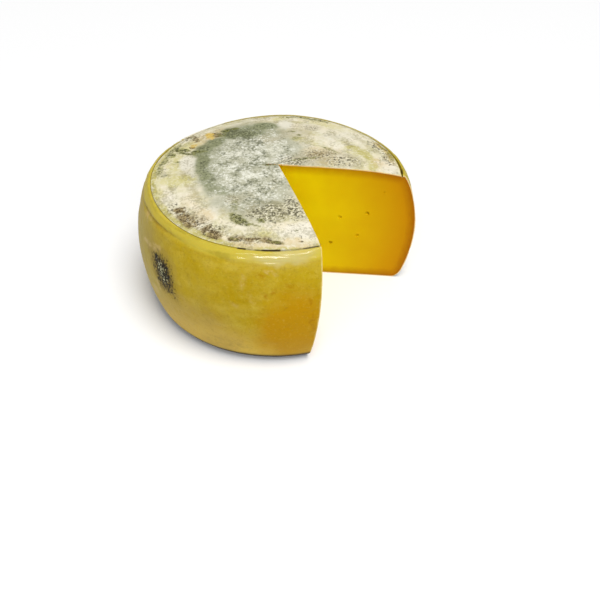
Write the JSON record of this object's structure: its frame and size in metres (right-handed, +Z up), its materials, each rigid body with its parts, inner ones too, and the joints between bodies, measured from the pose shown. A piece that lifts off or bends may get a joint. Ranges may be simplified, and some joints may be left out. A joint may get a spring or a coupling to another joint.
{
  "type": "aged kashar cheese wheel",
  "caption": "Barrel-sided wheel of hard aged cheese with a mouldy crown of rind, a waxy side and a wedge-shaped notch cut to its middle; it stands on its flat base",
  "frame": {"origin": "on the ground under the middle of the wheel's outline, at the bottom centre of its box", "axes": "+Z up, the wheel's own axis; the notch opens towards +X and -Y, and -Y faces the viewer of the picture"},
  "size_m": [0.3226, 0.3224, 0.151],
  "materials": {
    "rind_and_paste": "aged cheese: waxy golden rind on the side, chalky cream rind with grey-green mould on the crown, smooth deep yellow paste in the knife cuts"
  },
  "bodies": {
    "root": {"cheese_wheel": "rind_and_paste"}
  },
  "joints": []
}
